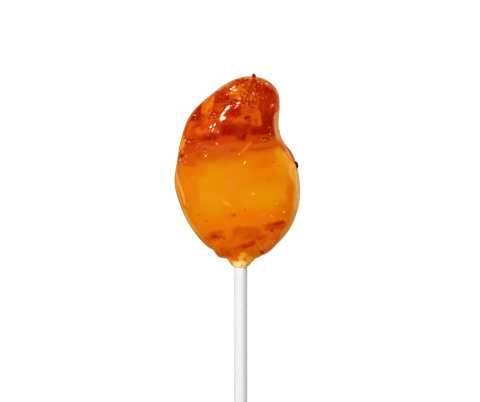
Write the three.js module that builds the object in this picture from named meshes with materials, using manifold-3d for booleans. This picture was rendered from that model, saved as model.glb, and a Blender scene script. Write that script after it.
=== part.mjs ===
// A fruit-shaped boiled-sweet lollipop under a wet chilli glaze, lying on its back with its glazed face up.
// Millimetres, +Z up. The origin is on the table, under the middle of the sweet and on the stick's axis.
// The crown of the sweet points along +Y and the stick leaves it along -Y.
import * as THREE from "three";
import { mergeVertices } from "three/addons/utils/BufferGeometryUtils.js";
import Module from "manifold-3d";

const wasm = await Module();
wasm.setup();

// Driving dimensions of the stick
const STICK_DIAMETER = 3.5;
const STICK_LENGTH = 85;
const STICK_SUNK = 21;
const STICK_CHAMFER = 0.15;
const STICK_SIDES = 32;
const SOCKET_GAP = 0.3;

// Driving dimensions of the sweet: heights are measured from the parting plane of its two-part mould
const FRONT_HEIGHT = 6.0;
const BACK_HEIGHT = 5.9;
const REST_CUT = 0.15;
const PARTING_Z = BACK_HEIGHT - REST_CUT;
const SHOULDER_WIDTH = 13;
const SHOULDER_FULLNESS = 2.5;
const SEAM_PROUD = 0.25;
const FRONT_LEAN = -0.45;
const CENTRE = new THREE.Vector3(-0.8, 0.5, 0);
const OUTLINE_STEPS = 100;
const PROFILE_STEPS = 36;
// Slivers thinner than this, left where solids are joined, are taken up by their neighbours
const SLIVER = 0.01;

// The edge of the sweet, anticlockwise from the top of the crown
const OUTLINE = [
  [1.6, 24.85], // top of the crown
  [-2.6, 23.6],
  [-7.8, 20.0], // long slope of the back
  [-13.0, 14.9],
  [-15.4, 8.6],
  [-16.5, 2.6],
  [-17.1, -2.2], // widest point, on the left
  [-16.4, -6.1],
  [-13.6, -12.9],
  [-9.6, -18.2],
  [-7.2, -20.2],
  [-6.0, -21.3], // heel, left of the stick
  [-4.2, -22.1],
  [0, -23.1],
  [4.6, -21.7],
  [6.8, -20.9], // heel, right of the stick
  [9.5, -18.4],
  [12.7, -14.6],
  [14.9, -9.2],
  [15.4, -4.6], // cheek
  [14.7, 1.3],
  [13.3, 5.1],
  [10.8, 8.5],
  [9.8, 12.4], // hollow under the beak
  [10.1, 17.4],
  [9.5, 21.3], // beak
  [6.5, 24.05],
];

// Long swells in the glaze: wave lengths across and along the sweet, and their height
const SWELL_ACROSS = 11;
const SWELL_ALONG = 8;
const SWELL_HEIGHT = 0.12;

// Collar of clear syrup where the stick goes in: radius and place along the stick, from inside the heel outwards
const COLLAR = [
  [3.6, -20.0],
  [3.6, -21.9],
  [3.1, -22.8],
  [2.65, -23.5],
  [2.35, -24.0],
];
const COLLAR_SIDES = 32;

// Chilli flakes. Each has a length, and a width and thickness that are shares of it
const FLAKE_LENGTH = [0.35, 0.8];
const FLAKE_WIDTH_SHARE = 0.62;
const FLAKE_THICKNESS_SHARE = 0.42;
const FLAKE_SUNK_SHARE = 0.2;
// Fractional steps that spread draws evenly: places across and along a cluster, turns and lengths
const SPREAD_X = 0.7548776662;
const SPREAD_Y = 0.569840291;
const SPREAD_TURN = 0.6180339887;
const SPREAD_LENGTH = 0.4142135624;
const DRAWS_PER_CLUSTER = 10;
// Flakes lie in clusters on both faces: the middle of each, its reach to each side and its number of flakes
const FLAKE_CLUSTERS = [
  { x: 2.2, y: 18.2, across: 1.5, along: 0.8, count: 6 },
  { x: 1.3, y: 23.2, across: 2.4, along: 0.7, count: 7 },
  { x: -1.8, y: 17.8, across: 0.8, along: 0.9, count: 4 },
  { x: -7.2, y: 14.6, across: 1.0, along: 1.2, count: 4 },
  { x: -12.0, y: 14.4, across: 0.9, along: 0.8, count: 3 },
  { x: -13.0, y: 8.0, across: 1.1, along: 0.8, count: 4 },
  { x: -8.9, y: 5.0, across: 0.8, along: 0.9, count: 3 },
  { x: 7.5, y: 11.2, across: 0.5, along: 1.0, count: 4 },
  { x: 6.0, y: 8.4, across: 1.2, along: 0.5, count: 4 },
];
// The large flakes that stand out: two break the edge, and the rest lie on the front
const LARGE_FLAKES = [
  { x: 3.5, y: 24.8, z: PARTING_Z + 0.6, length: 1.5, turn: 100 },
  { x: 14.35, y: 2.3, z: PARTING_Z + 0.4, length: 1.5, turn: 70 },
  { x: 1.65, y: 14.1, length: 1.5, turn: 22 },
  { x: -14.9, y: 4.5, length: 1.1, turn: 10 },
  { x: 5.9, y: 3.4, length: 0.7, turn: 30 },
  { x: 8.5, y: 2.7, length: 0.8, turn: 15 },
  { x: 7.4, y: -1.7, length: 0.6, turn: 60 },
  { x: -1.95, y: -11.0, length: 1.0, turn: 10 },
  { x: -8.8, y: -12.4, length: 0.8, turn: 140 },
  { x: -6.6, y: -16.4, length: 1.2, turn: 10 },
  { x: -4.2, y: -17.0, length: 0.8, turn: 10 },
  { x: 5.6, y: -20.3, length: 0.9, turn: 145 },
];

const CANDY_MATERIAL = new THREE.MeshStandardMaterial({
  color: 0xdf7208,
  roughness: 0.18,
  metalness: 0,
});
const STICK_MATERIAL = new THREE.MeshStandardMaterial({
  color: 0xf1f1ef,
  roughness: 0.7,
  metalness: 0,
});

// Solids from geometries, and back

function solidOf(geometry) {
  const bare = geometry.clone();
  bare.deleteAttribute("normal");
  bare.deleteAttribute("uv");
  const merged = mergeVertices(bare, 1e-4);
  return new wasm.Manifold(
    new wasm.Mesh({
      numProp: 3,
      vertProperties: new Float32Array(merged.attributes.position.array),
      triVerts: new Uint32Array(merged.index.array),
    }),
  );
}

function geometryOf(solid) {
  const { vertProperties, triVerts } = solid.getMesh();
  const geometry = new THREE.BufferGeometry();
  geometry.setAttribute("position", new THREE.BufferAttribute(vertProperties, 3));
  geometry.setIndex(new THREE.BufferAttribute(triVerts, 1));
  geometry.computeVertexNormals();
  return geometry;
}

// The sweet's edge, and how high its faces stand inside that edge

const edge = new THREE.CatmullRomCurve3(
  OUTLINE.map(([x, y]) => new THREE.Vector3(x, y, 0)),
  true,
).getSpacedPoints(OUTLINE_STEPS);
const wall = edge.map((point) => {
  const inwards = CENTRE.clone().sub(point).setLength(SEAM_PROUD);
  return point.clone().add(inwards);
});
const wallLines = wall.slice(1).map((end, i) => new THREE.Line3(wall[i], end));

function depthInside(x, y) {
  const point = new THREE.Vector3(x, y, 0);
  const nearest = new THREE.Vector3();
  const gaps = wallLines.map((line) => line.closestPointToPoint(point, true, nearest).distanceTo(point));
  return Math.min(...gaps);
}

function heightShare(x, y) {
  const out = Math.max(0, 1 - depthInside(x, y) / SHOULDER_WIDTH);
  return (1 - out ** SHOULDER_FULLNESS) ** (1 / SHOULDER_FULLNESS);
}

function swell(x, y) {
  const across = Math.sin((2 * Math.PI * (x + 0.4 * y)) / SWELL_ACROSS);
  const along = Math.cos((2 * Math.PI * (y - 0.3 * x)) / SWELL_ALONG);
  return SWELL_HEIGHT * across * along;
}

function faceZ(x, y, side) {
  const share = heightShare(x, y);
  const height = side > 0 ? FRONT_HEIGHT : BACK_HEIGHT;
  return PARTING_Z + side * share * (height + swell(x, side * y));
}

// The front leans to one side, so the face over a point comes from a little beside it
function leaningFaceZ(x, y, side) {
  const lean = side > 0 ? FRONT_LEAN * heightShare(x, y) : 0;
  return faceZ(x - lean, y, side);
}

// The glazed sweet: a ball whose equator follows the edge and whose two halves follow the faces

function candyBody() {
  const ball = new THREE.SphereGeometry(1, OUTLINE_STEPS, PROFILE_STEPS);
  const { position, uv } = ball.attributes;
  for (let i = 0; i < position.count; i++) {
    const meridian = THREE.MathUtils.euclideanModulo(Math.round(uv.getX(i) * OUTLINE_STEPS), OUTLINE_STEPS);
    const up = position.getY(i);
    const onSeam = Math.abs(up) < 1e-6;
    const reach = Math.sqrt(Math.max(0, 1 - up * up));
    const spot = CENTRE.clone().lerp(onSeam ? edge[meridian] : wall[meridian], reach);
    const z = onSeam ? PARTING_Z : faceZ(spot.x, spot.y, Math.sign(up));
    const lean = up > 0 ? (FRONT_LEAN * (z - PARTING_Z)) / FRONT_HEIGHT : 0;
    position.setXYZ(i, spot.x + lean, spot.y, z);
  }
  return solidOf(ball);
}

function collar() {
  const [innermost] = COLLAR;
  const outermost = COLLAR.at(-1);
  const outside = COLLAR.map(([radius, y]) => new THREE.Vector2(radius, y));
  const profile = [new THREE.Vector2(0, innermost[1]), ...outside, new THREE.Vector2(0, outermost[1])];
  const turned = new THREE.LatheGeometry(profile.reverse(), COLLAR_SIDES);
  return solidOf(turned.translate(0, 0, PARTING_Z));
}

// Chilli flakes, flattened and turned on the face or the edge that they stick to

function flake({ x, y, z, length, turn }) {
  const lump = new THREE.IcosahedronGeometry(0.5, 0);
  lump.scale(length, length * FLAKE_WIDTH_SHARE, length * FLAKE_THICKNESS_SHARE);
  lump.rotateX(THREE.MathUtils.degToRad(turn / 5));
  lump.rotateZ(THREE.MathUtils.degToRad(turn));
  return solidOf(lump.translate(x, y, z));
}

function clusteredFlakes({ x, y, across, along, count }, cluster, side) {
  return Array.from({ length: count }, (_, step) => {
    const draw = DRAWS_PER_CLUSTER * cluster + step + 1;
    const spotX = x + across * (2 * ((draw * SPREAD_X) % 1) - 1);
    const spotY = y + along * (2 * ((draw * SPREAD_Y) % 1) - 1);
    const length = THREE.MathUtils.lerp(...FLAKE_LENGTH, (draw * SPREAD_LENGTH) % 1);
    const sunk = FLAKE_SUNK_SHARE * FLAKE_THICKNESS_SHARE * length;
    const z = leaningFaceZ(spotX, spotY, side) - side * sunk;
    return { x: spotX, y: spotY, z, length, turn: 360 * ((draw * SPREAD_TURN) % 1) };
  });
}

function smallFlakes() {
  return [1, -1].flatMap((side) =>
    FLAKE_CLUSTERS.flatMap((cluster, index) => clusteredFlakes(cluster, index, side)),
  );
}

function largeFlakes() {
  return LARGE_FLAKES.map((spot) => ({ z: leaningFaceZ(spot.x, spot.y, 1), ...spot }));
}

// The hole that holds the stick, with the gap that keeps the two solids apart

const HEEL_Y = COLLAR.at(-1)[1];
const STICK_TOP_Y = HEEL_Y + STICK_SUNK;

function socket() {
  const radius = STICK_DIAMETER / 2 + SOCKET_GAP;
  const top = STICK_TOP_Y + SOCKET_GAP;
  const bottom = HEEL_Y - 1;
  const bore = new THREE.CylinderGeometry(radius, radius, top - bottom, STICK_SIDES);
  return solidOf(bore.translate(0, (top + bottom) / 2, PARTING_Z));
}

function aboveTable() {
  const span = 100;
  return solidOf(new THREE.BoxGeometry(span, span, span).translate(0, 0, span / 2));
}

function candy() {
  const flakes = [...smallFlakes(), ...largeFlakes()].map(flake);
  const joined = [collar(), ...flakes].reduce((whole, piece) => whole.add(piece), candyBody());
  const solid = joined.subtract(socket()).intersect(aboveTable()).simplify(SLIVER);
  const mesh = new THREE.Mesh(geometryOf(solid), CANDY_MATERIAL);
  mesh.name = "candy";
  return mesh;
}

// The rolled-paper stick, with its cut ends eased

function stick() {
  const radius = STICK_DIAMETER / 2;
  const half = STICK_LENGTH / 2;
  const profile = [
    [0, -half],
    [radius - STICK_CHAMFER, -half],
    [radius, -half + STICK_CHAMFER],
    [radius, half - STICK_CHAMFER],
    [radius - STICK_CHAMFER, half],
    [0, half],
  ].map(([r, y]) => new THREE.Vector2(r, y));
  const mesh = new THREE.Mesh(new THREE.LatheGeometry(profile, STICK_SIDES), STICK_MATERIAL);
  mesh.name = "stick";
  mesh.position.set(0, STICK_TOP_Y - half, PARTING_Z);
  return mesh;
}

const lollipop = new THREE.Group();
lollipop.add(candy(), stick());

export default lollipop;
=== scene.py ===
# %% [markdown]
# A boiled-sweet lollipop under a wet chilli glaze. The solids of the sweet and its stick come ready made,
# at their real size, and stay where they are. This lesson gives them their looks: a hand-poured skin of
# glaze, flakes, beads of syrup and rolled paper.

# %% Load the solids
import math
import random

import bpy
import numpy as np
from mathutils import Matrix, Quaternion, Vector


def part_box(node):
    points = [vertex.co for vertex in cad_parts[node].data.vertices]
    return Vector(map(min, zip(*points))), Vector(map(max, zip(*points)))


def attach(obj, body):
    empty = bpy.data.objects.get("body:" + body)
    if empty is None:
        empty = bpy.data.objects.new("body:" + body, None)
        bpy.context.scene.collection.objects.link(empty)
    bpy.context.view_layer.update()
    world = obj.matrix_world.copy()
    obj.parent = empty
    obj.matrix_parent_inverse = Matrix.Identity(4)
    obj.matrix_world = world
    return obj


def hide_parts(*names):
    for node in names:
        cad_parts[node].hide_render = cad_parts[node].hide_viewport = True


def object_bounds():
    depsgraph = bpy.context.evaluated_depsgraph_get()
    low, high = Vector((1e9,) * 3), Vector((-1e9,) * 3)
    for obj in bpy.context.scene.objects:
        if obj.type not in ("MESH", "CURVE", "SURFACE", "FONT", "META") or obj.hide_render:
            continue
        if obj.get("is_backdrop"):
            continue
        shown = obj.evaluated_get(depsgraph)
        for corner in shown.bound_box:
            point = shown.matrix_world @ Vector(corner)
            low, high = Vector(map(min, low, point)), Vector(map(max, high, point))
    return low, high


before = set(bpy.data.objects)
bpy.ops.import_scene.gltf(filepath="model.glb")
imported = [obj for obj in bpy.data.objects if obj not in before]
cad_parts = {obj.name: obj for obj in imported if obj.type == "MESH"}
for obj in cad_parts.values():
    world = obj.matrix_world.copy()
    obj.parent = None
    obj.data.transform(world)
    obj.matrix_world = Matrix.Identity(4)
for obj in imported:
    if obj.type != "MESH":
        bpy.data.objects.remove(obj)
solid_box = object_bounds()
MM = 0.001
candy_low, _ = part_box("candy")
stick_low, stick_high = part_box("stick")
STICK_RADIUS = (stick_high.x - stick_low.x) / 2
PARTING_HEIGHT = (stick_low.z + stick_high.z) / 2
HEEL = candy_low.y
print("nodes", sorted(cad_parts), "parting plane at", round(PARTING_HEIGHT / MM, 2), "mm")

# %% [markdown]
# The camera looks straight down on the sweet through a long lens, so that the picture has almost no
# perspective. An orthographic camera would have none at all, but a long lens is what such a picture is
# taken with.

# %% Camera
PICTURE_WIDTH = 124.0 * MM
PICTURE_MIDDLE = (-0.155 * MM, -7.34 * MM)
LENS = 300
SENSOR = 36
bpy.ops.object.select_all(action="DESELECT")
bpy.ops.object.camera_add(
    location=(*PICTURE_MIDDLE, PARTING_HEIGHT + PICTURE_WIDTH * LENS / SENSOR),
    rotation=(0, 0, 0),
)
camera = bpy.context.object
camera.data.lens = LENS
camera.data.sensor_width = SENSOR
bpy.context.scene.camera = camera
print("camera at", round(camera.location.z / MM), "mm")

# %% [markdown]
# Most steps below act on one object and finish with a modifier that is applied at once. Blender's operators
# work on whatever is selected, so the first helper selects one piece alone, and the second adds a modifier,
# sets it up and applies it, as its panel would.

# %% Helpers for one piece at a time


def take(piece):
    bpy.ops.object.select_all(action="DESELECT")
    piece.select_set(True)
    bpy.context.view_layer.objects.active = piece


def finish_modifier(piece, kind, **settings):
    modifier = piece.modifiers.new(kind.lower(), kind)
    for name, value in settings.items():
        setattr(modifier, name, value)
    take(piece)
    bpy.ops.object.modifier_apply(modifier=modifier.name)


def edit_all(piece):
    """Opens a piece in edit mode with all of it selected."""
    take(piece)
    bpy.ops.object.mode_set(mode="EDIT")
    bpy.ops.mesh.select_all(action="SELECT")


def select_faces(piece, wanted):
    """Selects the faces of a piece whose index is wanted, and leaves the piece in edit mode."""
    take(piece)
    bpy.ops.object.mode_set(mode="EDIT")
    bpy.ops.mesh.select_mode(type="FACE")
    bpy.ops.mesh.select_all(action="DESELECT")
    bpy.ops.object.mode_set(mode="OBJECT")
    piece.data.polygons.foreach_set("select", wanted)
    bpy.ops.object.mode_set(mode="EDIT")


def corners_of(piece):
    """The corners of a piece's mesh as an array of points in millimetres."""
    flat = np.empty(3 * len(piece.data.vertices))
    piece.data.vertices.foreach_get("co", flat)
    return flat.reshape(-1, 3) / MM


def smooth_step(low, high, value):
    share = np.clip((value - low) / (high - low), 0, 1)
    return share * share * (3 - 2 * share)


def measure(piece):
    size = piece.dimensions / MM
    print(piece.name, len(piece.data.polygons), "faces", [round(side, 2) for side in size], "mm")


print("helpers for one piece ready")

# %% [markdown]
# The sweet itself. Boiled sugar is cast in a two-part mould and then dipped, so its skin is smooth and
# flowing. The solid already has the right outline and thickness, so a copy of it is the start. Its loose
# triangles are merged, the hole for the stick is closed for now, and a voxel remesh gives it an even skin
# that can be sculpted.

# %% Copy the sweet and give it an even skin
SKIN_STEP = 0.206 * MM
SAME_POINT = 1e-7
SOCKET_REACH = 2.1
SOCKET_TOP = stick_high.y / MM + 1.0
candy = bpy.data.objects.new("glazed_candy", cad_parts["candy"].data.copy())
bpy.context.scene.collection.objects.link(candy)
edit_all(candy)
bpy.ops.mesh.remove_doubles(threshold=SAME_POINT)
bpy.ops.object.mode_set(mode="OBJECT")
points = corners_of(candy)
from_axis = np.hypot(points[:, 0], points[:, 2] - PARTING_HEIGHT / MM)
in_socket = (from_axis < SOCKET_REACH) & (points[:, 1] < SOCKET_TOP)
socket_faces = [all(in_socket[corner] for corner in face.vertices) for face in candy.data.polygons]
select_faces(candy, socket_faces)
bpy.ops.mesh.delete(type="FACE")
bpy.ops.mesh.select_mode(type="EDGE")
bpy.ops.mesh.select_non_manifold()
bpy.ops.mesh.edge_face_add()
bpy.ops.object.mode_set(mode="OBJECT")
finish_modifier(candy, "REMESH", mode="VOXEL", voxel_size=SKIN_STEP, use_smooth_shade=True)
measure(candy)

# %% [markdown]
# A dipped skin has no facets, so the steps of the solid are smoothed away. The mould's parting line is a
# real ridge on the sweet, and smoothing would eat it, so a weight of nought along that line holds it in
# place. A thin coat of glaze then makes up for what smoothing takes off. Smooth shading alone would hide
# the facets on the face, but not at the outline.

# %% Smooth the skin, but not the parting line
GLAZE_COAT = 0.07
LEAST_WEIGHT = 0.002
HELD_AT_PARTING = (0.15, 0.9)
HELD_AT_COLLAR = (-24.0, -22.5)
COATED_FROM_BACK = (0.2, 2.0)
COATED_FROM_COLLAR = (-23.0, -21.0)


def weigh(piece, name, weights):
    """Gives a piece a group of weights, from nought to one, for a modifier to follow."""
    group = piece.vertex_groups.new(name=name)
    for corner in np.flatnonzero(weights > LEAST_WEIGHT):
        group.add([int(corner)], float(weights[corner]), "REPLACE")


def push(piece, name, weights, height, **settings):
    """Moves the skin outwards by a height in millimetres, as far as the weights let it."""
    weigh(piece, name, weights)
    settings = {"mid_level": 0, "strength": height * MM, "vertex_group": name, **settings}
    finish_modifier(piece, "DISPLACE", **settings)


points = corners_of(candy)
from_parting = np.abs(points[:, 2] - PARTING_HEIGHT / MM)
soft = smooth_step(*HELD_AT_PARTING, from_parting) * smooth_step(*HELD_AT_COLLAR, points[:, 1])
weigh(candy, "soft_skin", soft)
finish_modifier(candy, "SMOOTH", factor=0.5, iterations=23, vertex_group="soft_skin")
finish_modifier(candy, "SMOOTH", factor=0.5, iterations=2)
coated = smooth_step(*COATED_FROM_BACK, points[:, 2]) * smooth_step(*COATED_FROM_COLLAR, points[:, 1])
push(candy, "coat", coated, GLAZE_COAT)
measure(candy)

# %% [markdown]
# The glaze runs before it sets. The crown and the heel, where the glaze is thickest, have long, low swells
# and shorter ripples. Cloud textures drive Displace modifiers, and weights keep the relief off the parting
# line, the flat that the sweet rests on and the smooth shoulder that mirrors the window as one long streak.
# Sculpting by hand could do it too, but textures give the same swells at each run.

# %% Swells and ripples in the glaze
STREAK_SHOULDER = [(-1.5, 19.0), (-4.6, 14.8), (-7.4, 10.4)]
CLEAR_OF_PARTING = (0.3, 1.6)
CLEAR_OF_TABLE = (0.3, 1.5)
CLEAR_OF_STREAK = (0.8, 3.0)
CLEAR_OF_NECK = (-23.5, -20.5)
CROWN_STARTS = (6.5, 11.0)
HEEL_STARTS = (-9.0, -14.0)
NECK_STARTS = (-20.5, -21.5)
NECK_ENDS = (-24.0, -23.2)


def distance_to_path(flat_points, path):
    """The distance of points, seen from above, to the nearest stretch of a path."""
    gaps = []
    for start, end in zip(path, path[1:]):
        start, along = np.array(start), np.array(end) - np.array(start)
        share = np.clip((flat_points - start) @ along / (along @ along), 0, 1)
        gaps.append(np.linalg.norm(flat_points - start - share[:, None] * along, axis=1))
    return np.min(gaps, axis=0)


def ripple(piece, name, wave, height, weights):
    """Lifts and sinks the skin by clouds of a wave and a height in millimetres."""
    clouds = bpy.data.textures.new(name, "CLOUDS")
    clouds.noise_scale = wave * MM
    clouds.noise_depth = 1
    push(piece, name, weights, height, mid_level=0.5, texture=clouds, texture_coords="LOCAL")


points = corners_of(candy)
along = points[:, 1]
from_parting = np.abs(points[:, 2] - PARTING_HEIGHT / MM)
clear = smooth_step(*CLEAR_OF_PARTING, from_parting) * smooth_step(*CLEAR_OF_TABLE, points[:, 2])
off_streak = smooth_step(*CLEAR_OF_STREAK, distance_to_path(points[:, :2], STREAK_SHOULDER))
above_neck = smooth_step(*CLEAR_OF_NECK, along)
crown = smooth_step(*CROWN_STARTS, along)
heel = smooth_step(*HEEL_STARTS, along)
neck = smooth_step(*NECK_STARTS, along) * smooth_step(*NECK_ENDS, along)
thick_glaze = clear * above_neck * off_streak * np.maximum(crown, heel)
ripple(candy, "long_swells", wave=5.0, height=0.12, weights=thick_glaze)
ripple(candy, "crown_ripples", wave=2.2, height=0.1, weights=clear * crown * off_streak)
ripple(candy, "heel_ripples", wave=2.4, height=0.22, weights=clear * above_neck * heel)
ripple(candy, "neck_lumps", wave=1.3, height=0.6, weights=neck)
measure(candy)

# %% [markdown]
# Where one coat of glaze stops over another there is a lip. Each lip is a short path over the face, and
# skin that is near the path is lifted a little, like the ridge that a finger leaves in wet paint. A strip
# laid on top could stand for a lip, but a lifted skin has no seam.

# %% Lips of glaze
GLAZE_LIPS = [
    ((-16.4, -0.6), (-16.0, -2.6), (-15.3, -4.6), (-14.8, -6.2), (-14.5, -8.6)),
    ((4.3, -18.0), (5.2, -19.4), (6.1, -20.5)),
    ((10.6, 6.4), (12.4, 4.4), (14.2, 1.5)),
]
LIP_WIDTH = 0.3
LIP_HEIGHT = 0.2
FRONT_STARTS = (0.2, 1.0)

points = corners_of(candy)
face_up = smooth_step(*FRONT_STARTS, points[:, 2] - PARTING_HEIGHT / MM)
lifted = np.zeros(len(points))
for path in GLAZE_LIPS:
    gap = distance_to_path(points[:, :2], path)
    lifted = np.maximum(lifted, face_up * np.exp(-((gap / LIP_WIDTH) ** 2)))
push(candy, "glaze_lips", lifted, LIP_HEIGHT)
print("lips of glaze", len(GLAZE_LIPS))

# %% [markdown]
# At the heel the glaze has gathered in two lumps beside the neck, with a dent above one of them. Skin near
# the middle of a lump is pushed outwards by a weight that falls off round it, and skin near a dent is
# pulled in the same way. A brush in sculpt mode does the same by hand, but a height that is a number is
# easier to change.

# %% Lumps and a dent at the heel
HEEL_LUMPS = [(-5.4, -21.2, 1.4), (3.9, -21.8, 1.0)]
HEEL_DENTS = [(-7.2, -20.3, 0.9)]
LUMP_HEIGHT = 0.35
DENT_DEPTH = 0.3


def swell(piece, name, spots, height):
    """Pushes the skin out round spots, each with its reach, or pulls it in where the height is negative."""
    points = corners_of(piece)
    swollen = np.zeros(len(points))
    for x, y, reach in spots:
        gap = np.linalg.norm(points - np.array((x, y, PARTING_HEIGHT / MM)), axis=1)
        swollen = np.maximum(swollen, np.exp(-((gap / reach) ** 2)))
    push(piece, name, swollen, height)
    print(name, len(spots))


swell(candy, "heel_lumps", HEEL_LUMPS, LUMP_HEIGHT)
swell(candy, "heel_dents", HEEL_DENTS, -DENT_DEPTH)

# %% [markdown]
# The neck of syrup has run down the stick a little, most of all in its middle, so its lower end is rounded.
# A Displace modifier along Y pulls the lower end down by a weight. A drop could be modelled and joined on,
# but a skin that is pulled has no seam.

# %% The syrup runs down the stick
SYRUP_RUN = 0.5
SYRUP_HALF_WIDTH = 2.4
SYRUP_END = (-22.8, -23.8)

points = corners_of(candy)
middle_share = np.clip(1 - (points[:, 0] / SYRUP_HALF_WIDTH) ** 2, 0, 1)
running = middle_share * smooth_step(*SYRUP_END, points[:, 1])
push(candy, "syrup_run", running, -SYRUP_RUN, direction="Y")
measure(candy)

# %% [markdown]
# The smooth shoulder of the sweet mirrors one window as a white streak. A ray that is dropped on the face
# finds the height and the slope of the glaze at a point, and the slope at the streak tells where the window
# has to stand. A lamp could be moved by hand until the streak lands in its place, but the law of the mirror
# finds that place at once.

# %% Where the window stands
STREAK_MIDDLE = (-4.6, 13.9)
WINDOW_DISTANCE = 0.6
RAY_START = 0.05
SLOPE_REACH = 0.4


def on_face(x, y, side):
    """The place and outward slope of the front (side 1) or back (side -1) at a point, or None beside it."""
    start = Vector((x * MM, y * MM, PARTING_HEIGHT + side * RAY_START))
    hit, place, normal, _ = candy.ray_cast(start, Vector((0, 0, -side)))
    return (place, normal) if hit else None


def slope_near(x, y, reach):
    """The outward slope of the front, averaged over a small square."""
    steps = (-reach, 0, reach)
    slopes = [on_face(x + dx, y + dy, 1)[1] for dx in steps for dy in steps]
    return sum(slopes, Vector()).normalized()


def mirrored_window(x, y):
    """The place whose mirror image the eye sees at a point of the front."""
    place, _ = on_face(x, y, 1)
    slope = slope_near(x, y, SLOPE_REACH)
    to_eye = (camera.location - place).normalized()
    return place + WINDOW_DISTANCE * (2 * slope.dot(to_eye) * slope - to_eye)


def mirror_slope(place):
    """The slope that mirrors the window to the eye."""
    return ((camera.location - place).normalized() + (window - place).normalized()).normalized()


window = mirrored_window(*STREAK_MIDDLE)
print("window at", [round(value, 3) for value in window])

# %% [markdown]
# The syrup neck fits the stick closely. The stick's hole is cut again with a Boolean, a hair wider than the
# stick, from a cylinder that is laid along the stick. It is cut last, because a remesh and smoothing would
# round its edge.

# %% Cut the hole for the stick
STICK_GAP = 0.03 * MM
ROUND_SIDES = 64
HOLE_PAST_COLLAR = 1.0 * MM
HOLE_PAST_STICK = 0.1 * MM


def lay_cylinder(radius, low, high):
    """A cylinder on the line of the stick, from a low end to a high end."""
    bpy.ops.object.select_all(action="DESELECT")
    bpy.ops.mesh.primitive_cylinder_add(
        vertices=ROUND_SIDES,
        radius=radius,
        depth=high - low,
        location=(0, (low + high) / 2, PARTING_HEIGHT),
        rotation=(math.radians(90), 0, 0),
    )
    bpy.ops.object.transform_apply(location=True, rotation=True, scale=True)
    return bpy.context.object


bore = lay_cylinder(STICK_RADIUS + STICK_GAP, HEEL - HOLE_PAST_COLLAR, stick_high.y + HOLE_PAST_STICK)
finish_modifier(candy, "BOOLEAN", object=bore, operation="DIFFERENCE", solver="MANIFOLD")
bpy.data.objects.remove(bore)
candy.vertex_groups.clear()
take(candy)
bpy.ops.object.shade_smooth()
measure(candy)

# %% [markdown]
# Chilli flakes are crushed skin and seed, so each is a flat, uneven chip. One chip is modelled from an
# icosphere and copied to its places. They follow the flakes of the solid: clusters, which even fractional
# steps fill, and a few large flakes one by one. The copies are joined into one piece, and bisect cuts off
# what would sink into the table. A particle system could scatter them, but not onto the places that the
# solid gives.

# %% Where the chilli flakes lie
FLAKE_LENGTHS = (0.35, 0.8)
FLAKE_PROUD = 1.12
LARGE_FLAKE_SLIMNESS = 0.75
SPREAD_X = 0.7548776662
SPREAD_Y = 0.569840291
SPREAD_TURN = 0.6180339887
SPREAD_LENGTH = 0.4142135624
DRAWS_PER_CLUSTER = 10
FLAKE_CLUSTERS = [
    (2.2, 18.2, 1.5, 0.8, 6),
    (1.3, 23.2, 2.4, 0.7, 7),
    (-1.8, 17.8, 0.8, 0.9, 4),
    (-7.2, 14.6, 1.0, 1.2, 4),
    (-12.0, 14.4, 0.9, 0.8, 3),
    (-13.0, 8.0, 1.1, 0.8, 4),
    (-8.9, 5.0, 0.8, 0.9, 3),
    (7.5, 11.2, 0.5, 1.0, 4),
    (6.0, 8.4, 1.2, 0.5, 4),
]
LARGE_FLAKES = [
    (1.65, 14.1, 1.5, 22),
    (-15.1, 4.3, 1.4, 15),
    (5.9, 3.4, 0.7, 30),
    (8.5, 2.7, 0.8, 15),
    (7.4, -1.7, 0.6, 60),
    (-1.95, -11.0, 1.0, 10),
    (-8.8, -12.4, 0.8, 140),
    (-6.6, -16.4, 1.2, 10),
    (-4.2, -17.0, 0.8, 10),
    (5.6, -20.3, 0.9, 145),
]
EDGE_FLAKES = [(3.45, 24.6, 0.7, 1.9, 97), (14.35, 1.95, 1.2, 1.7, 105)]


def flake_size(length, slimness=1.0):
    return FLAKE_PROUD * length, FLAKE_PROUD * length * slimness, FLAKE_PROUD * length


def cluster_places(x, y, across, along, count, first_draw, side):
    for draw in range(first_draw, first_draw + count):
        spot_x = x + across * (2 * (draw * SPREAD_X % 1) - 1)
        spot_y = y + along * (2 * (draw * SPREAD_Y % 1) - 1)
        length = np.interp(draw * SPREAD_LENGTH % 1, (0, 1), FLAKE_LENGTHS)
        yield *on_face(spot_x, spot_y, side), flake_size(length), 360 * (draw * SPREAD_TURN % 1)


def flake_places():
    for side in (1, -1):
        for index, cluster in enumerate(FLAKE_CLUSTERS):
            yield from cluster_places(*cluster, DRAWS_PER_CLUSTER * index + 1, side)
    for x, y, length, turn in LARGE_FLAKES:
        yield *on_face(x, y, 1), flake_size(length, LARGE_FLAKE_SLIMNESS), turn
    for x, y, height, length, turn in EDGE_FLAKES:
        place = Vector((x * MM, y * MM, PARTING_HEIGHT + height * MM))
        yield place, Vector((0, 0, 1)), flake_size(length), turn


print("clusters of flakes", len(FLAKE_CLUSTERS), "and large flakes", len(LARGE_FLAKES + EDGE_FLAKES))

# %% Model one flake and copy it
FLAKE_WIDTH_SHARE = 0.62
FLAKE_THICKNESS_SHARE = 0.42
FLAKE_ROUGHNESS = 0.09 * MM
CUT_EXACTNESS = 1e-8


def start_icosphere(subdivisions):
    """An icosphere that is 1 mm across, all selected in edit mode."""
    bpy.ops.object.select_all(action="DESELECT")
    bpy.ops.mesh.primitive_ico_sphere_add(subdivisions=subdivisions, radius=MM / 2)
    ball = bpy.context.object
    edit_all(ball)
    return ball


def cut_level(height, **cleared):
    """Cuts what is selected at a height, closes the cut and clears one side of it."""
    bpy.ops.mesh.bisect(
        plane_co=(0, 0, height),
        plane_no=(0, 0, 1),
        use_fill=True,
        threshold=CUT_EXACTNESS,
        **cleared,
    )


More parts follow.
